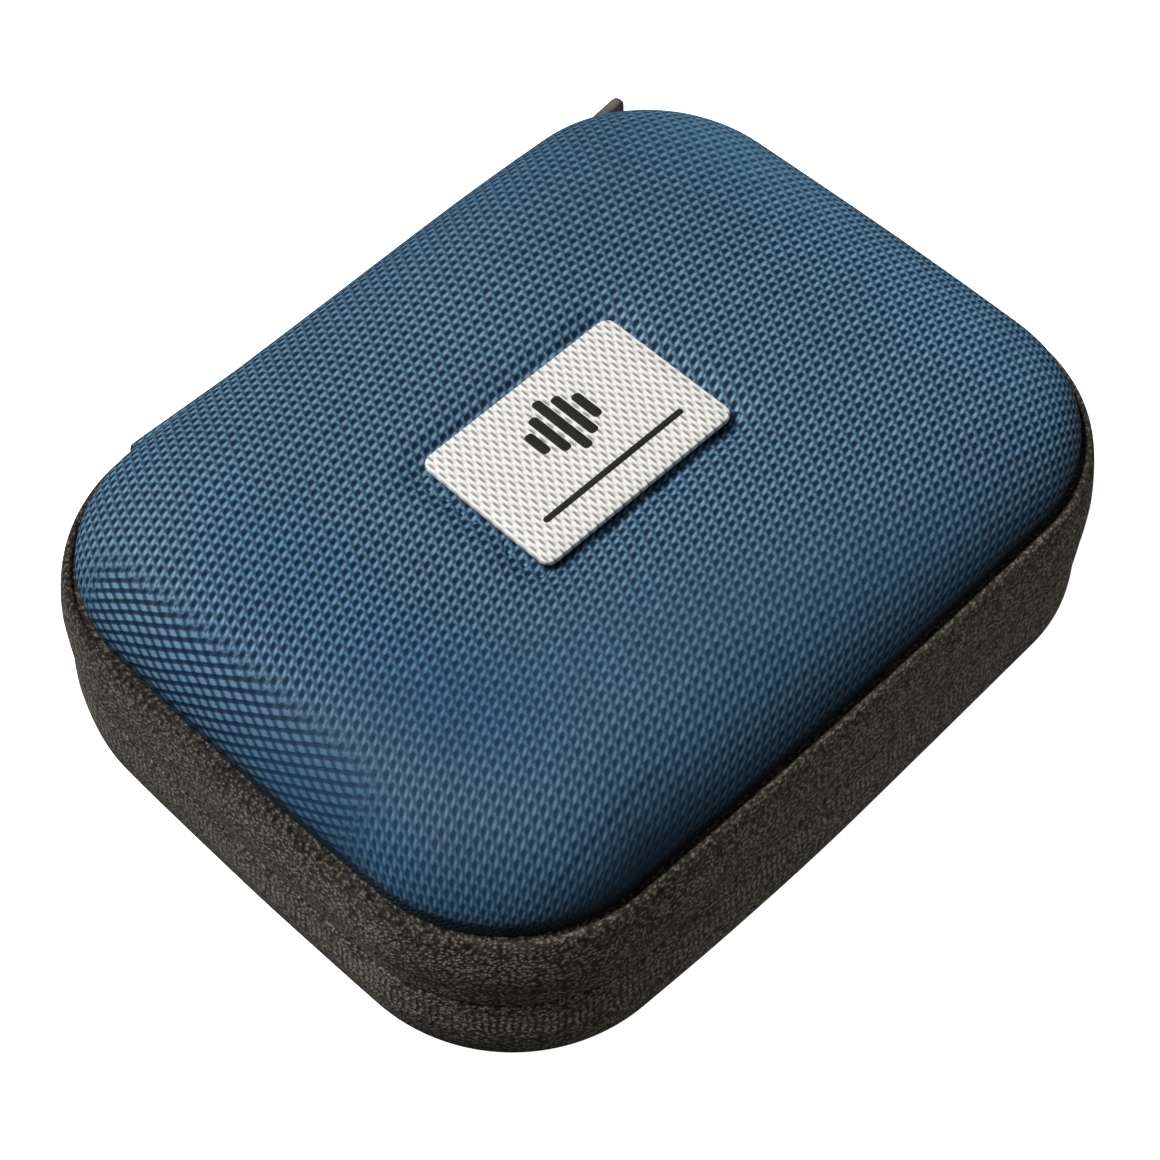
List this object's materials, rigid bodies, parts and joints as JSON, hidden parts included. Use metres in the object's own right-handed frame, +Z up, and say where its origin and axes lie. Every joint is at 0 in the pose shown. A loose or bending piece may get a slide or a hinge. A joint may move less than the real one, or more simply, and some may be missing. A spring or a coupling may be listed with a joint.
{
  "type": "headphone carrying case",
  "caption": "Small zip-up moulded carrying case for earphones: two padded fabric-covered halves, wide zipper band, fabric hinge and net pocket.",
  "frame": {"origin": "centre of the flat bottom that the case rests on", "axes": "+X along the long side, +Y to the hinge, +Z up through the lid"},
  "size_m": [0.1156, 0.095, 0.0476],
  "materials": {
    "blue_weave": "coarse woven nylon, steel blue, slight sheen on the floats",
    "foam": "moulded closed-cell foam",
    "lining": "brushed knit, matt",
    "binding": "ribbed tape, matt",
    "zip_tape": "charcoal woven tape with a faint knit grain",
    "zip_coil": "nylon coil",
    "pocket_net": "open knitted net",
    "badge": "off-white pressed plate with an embossed weave and a plain black motif",
    "gunmetal": "warm grey plated zinc"
  },
  "bodies": {
    "base": {"base_cover": "blue_weave", "base_shell": "foam", "base_lining": "lining", "base_binding": "binding", "lower_zip_tape": "zip_tape", "lower_zip_coil": "zip_coil", "hinge_strip": "blue_weave", "hinge_lining": "lining"},
    "lid": {"lid_cover": "blue_weave", "lid_shell": "foam", "lid_lining": "lining", "lid_binding": "binding", "upper_zip_tape": "zip_tape", "upper_zip_coil": "zip_coil", "pocket_net": "pocket_net", "pocket_elastic": "binding", "label_badge": "badge"},
    "slider": {"zip_slider_body": "gunmetal", "slider_bridge": "gunmetal"},
    "pull": {"zip_pull_tab": "gunmetal"}
  },
  "joints": [
    {"name": "lid_hinge", "type": "hinge", "parent": "base", "child": "lid", "pos_m": [0, 0.0468, 0.0238], "axis": [-1, 0, 0], "range_deg": [0, 170], "deforming": ["hinge_strip", "hinge_lining"]},
    {"name": "zip_slider_travel", "type": "hinge", "parent": "base", "child": "slider", "pos_m": [0.03451, 0.0219, 0.0238], "axis": [0, 0, -1], "range_deg": [0, 65]},
    {"name": "pull_swing", "type": "hinge", "parent": "slider", "child": "pull", "pos_m": [0.03933, 0.04719, 0.0238], "axis": [0, 0, 1], "range_deg": [-12, 80]}
  ]
}
